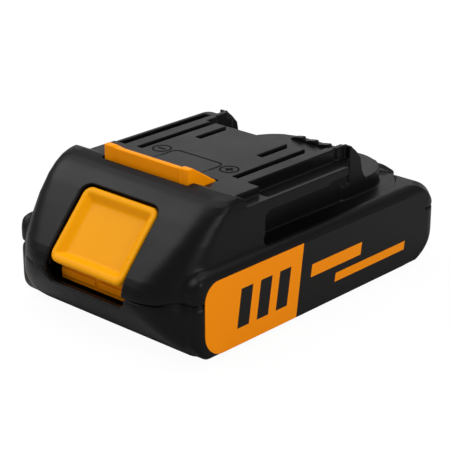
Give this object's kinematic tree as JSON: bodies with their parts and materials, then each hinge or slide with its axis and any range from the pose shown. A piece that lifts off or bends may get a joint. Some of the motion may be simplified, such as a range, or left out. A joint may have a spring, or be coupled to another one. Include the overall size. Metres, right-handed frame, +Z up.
{
  "type": "power tool battery pack",
  "caption": "Slide-on battery pack for a cordless power tool: black housing, rail platform over slotted contacts, sprung orange release latch and plain side label films.",
  "frame": {"origin": "middle of the footprint, on the plane the pack stands on", "axes": "+Z up, -Y towards the release button, +Y towards the end the tool slides over, X across the width"},
  "size_m": [0.0764, 0.123, 0.0498],
  "materials": {
    "housing_black": "satin moulded",
    "latch_orange": "satin moulded",
    "spring_steel": "drawn wire",
    "cell_wrap": "shrink film",
    "holder_grey": "moulded",
    "nickel": "rolled strip",
    "board_green": "coated laminate",
    "block_black": "moulded",
    "contact_brass": "stamped",
    "screw_steel": "plated",
    "label_orange": "printed film",
    "label_black": "printed film"
  },
  "bodies": {
    "pack": {"lower_housing": "housing_black", "upper_housing": "housing_black", "latch_springs": "spring_steel", "cell_1": "cell_wrap", "cell_2": "cell_wrap", "cell_3": "cell_wrap", "cell_4": "cell_wrap", "cell_5": "cell_wrap", "cell_holder_right": "holder_grey", "cell_holder_left": "holder_grey", "strip_right_12": "nickel", "strip_right_34": "nickel", "strip_positive": "nickel", "strip_negative": "nickel", "strip_left_23": "nickel", "strip_left_45": "nickel", "circuit_board": "board_green", "terminal_block": "block_black", "contact_negative": "contact_brass", "contact_positive": "contact_brass", "contact_sense_left": "contact_brass", "contact_sense_right": "contact_brass", "housing_screws": "screw_steel", "label_front_right": "label_orange", "label_rear_right": "label_black", "label_front_left": "label_orange", "label_rear_left": "label_black"},
    "latch": {"release_latch": "latch_orange"}
  },
  "joints": [
    {"name": "latch_press", "type": "slide", "parent": "pack", "child": "latch", "axis": [0, 0, -1], "range_m": [0, 0.005], "stiffness_N_per_m": 1500, "springref_m": -0.003, "deforming": ["latch_springs"]}
  ]
}
